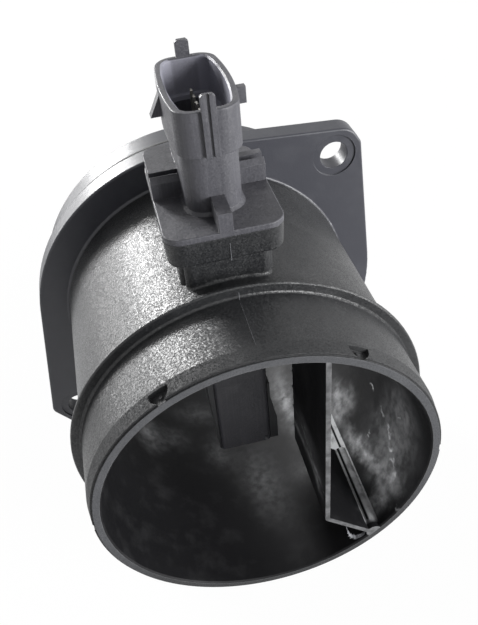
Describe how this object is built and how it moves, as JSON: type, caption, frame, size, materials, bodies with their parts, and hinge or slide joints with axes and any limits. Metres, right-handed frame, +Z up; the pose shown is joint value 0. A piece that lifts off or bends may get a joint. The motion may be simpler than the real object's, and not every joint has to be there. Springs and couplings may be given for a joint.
{
  "type": "mass airflow sensor",
  "caption": "Flanged plastic air duct with a plug-in measuring finger, a walled-off side channel and an upright connector, for metering engine intake air.",
  "frame": {"origin": "centre of the flange's mounting face, on the duct's axis", "axes": "+Y along the duct from the hose end towards the filter-box spigot, +Z up along the connector, +X to the right seen from the hose end"},
  "size_m": [0.112, 0.0974, 0.1408],
  "materials": {
    "duct_plastic": "fine spark-eroded texture on glass-filled nylon, satin",
    "sensor_plastic": "smoother satin moulding, filled polyester",
    "cover_plastic": "satin moulding",
    "carrier_metal": "stamped, bare",
    "board_laminate": "coated laminate",
    "package_resin": "moulded resin",
    "capacitor_ceramic": "fired ceramic",
    "tongue_resin": "moulded resin",
    "chip_silicon": "polished silicon",
    "probe_bead": "epoxy-dipped bead on tinned wire",
    "seal_rubber": "moulded rubber",
    "contact_tin": "tin-plated"
  },
  "bodies": {
    "root": {"duct_housing": "duct_plastic", "sensor_housing": "sensor_plastic", "electronics_cover": "cover_plastic", "bypass_cover": "cover_plastic", "carrier_plate": "carrier_metal", "circuit_board": "board_laminate", "evaluation_ic": "package_resin", "chip_capacitors": "capacitor_ceramic", "element_holder": "tongue_resin", "sensor_chip": "chip_silicon", "temperature_probe": "probe_bead", "sensor_seal_ring": "seal_rubber", "spigot_seal_ring": "seal_rubber", "contact_1": "contact_tin", "contact_2": "contact_tin", "contact_3": "contact_tin", "contact_4": "contact_tin", "contact_5": "contact_tin"}
  },
  "joints": []
}
